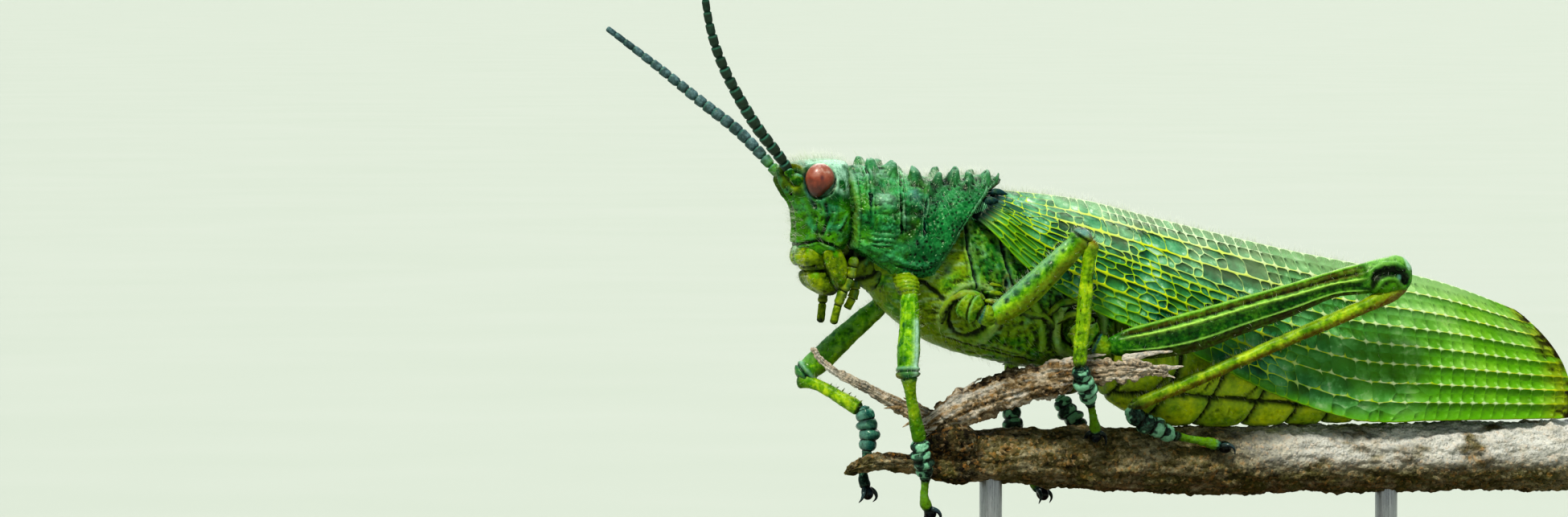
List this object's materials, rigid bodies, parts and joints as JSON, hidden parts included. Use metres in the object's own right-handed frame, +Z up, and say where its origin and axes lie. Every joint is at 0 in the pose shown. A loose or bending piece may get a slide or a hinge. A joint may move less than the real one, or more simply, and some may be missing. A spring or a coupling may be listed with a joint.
{
  "type": "grasshopper model",
  "caption": "Life-size display model of a green grasshopper with folded wings, gripping a broken branch that short rods hold over a flat base.",
  "frame": {"origin": "middle of the display base's underside", "axes": "+Z up, +X from the head towards the wing tips, -Y on the animal's left side"},
  "size_m": [0.093, 0.042, 0.059],
  "materials": {
    "body_shell": "satin, pitted and warty shell in dark green",
    "belly_shell": "satin yellow-green shell with folds",
    "leg_shell": "satin green shell",
    "dark_horn": "glossy blue-black",
    "eye": "glossy brick red",
    "wing": "leathery membrane with raised yellow-green veins",
    "bark": "dry grey-brown bark and torn wood",
    "stand_wood": "plain dark satin wood",
    "stand_steel": "fine brushed"
  },
  "bodies": {
    "root": {"abdomen": "belly_shell", "antenna_left": "dark_horn", "antenna_right": "dark_horn", "clypeus": "belly_shell", "coxa_fore_left": "leg_shell", "coxa_fore_right": "leg_shell", "coxa_hind_left": "leg_shell", "coxa_hind_right": "leg_shell", "coxa_middle_left": "leg_shell", "coxa_middle_right": "leg_shell", "eye_left": "eye", "eye_right": "eye", "femur_fore_left": "leg_shell", "femur_fore_right": "leg_shell", "femur_hind_left": "leg_shell", "femur_hind_right": "leg_shell", "femur_middle_left": "leg_shell", "femur_middle_right": "leg_shell", "head": "body_shell", "labrum": "belly_shell", "mandible_left": "belly_shell", "mandible_right": "belly_shell", "palp_labial_left": "belly_shell", "palp_labial_right": "belly_shell", "palp_maxillary_left": "belly_shell", "palp_maxillary_right": "belly_shell", "perch_branch": "bark", "perch_splinter": "bark", "perch_twig": "bark", "pronotum": "body_shell", "stand_base": "stand_wood", "stand_rod_front": "stand_steel", "stand_rod_rear": "stand_steel", "tarsus_fore_left": "dark_horn", "tarsus_fore_right": "dark_horn", "tarsus_hind_left": "dark_horn", "tarsus_hind_right": "dark_horn", "tarsus_middle_left": "dark_horn", "tarsus_middle_right": "dark_horn", "thorax": "body_shell", "tibia_fore_left": "leg_shell", "tibia_fore_right": "leg_shell", "tibia_hind_left": "leg_shell", "tibia_hind_right": "leg_shell", "tibia_middle_left": "leg_shell", "tibia_middle_right": "leg_shell", "wing_left": "wing", "wing_right": "wing"}
  },
  "joints": []
}
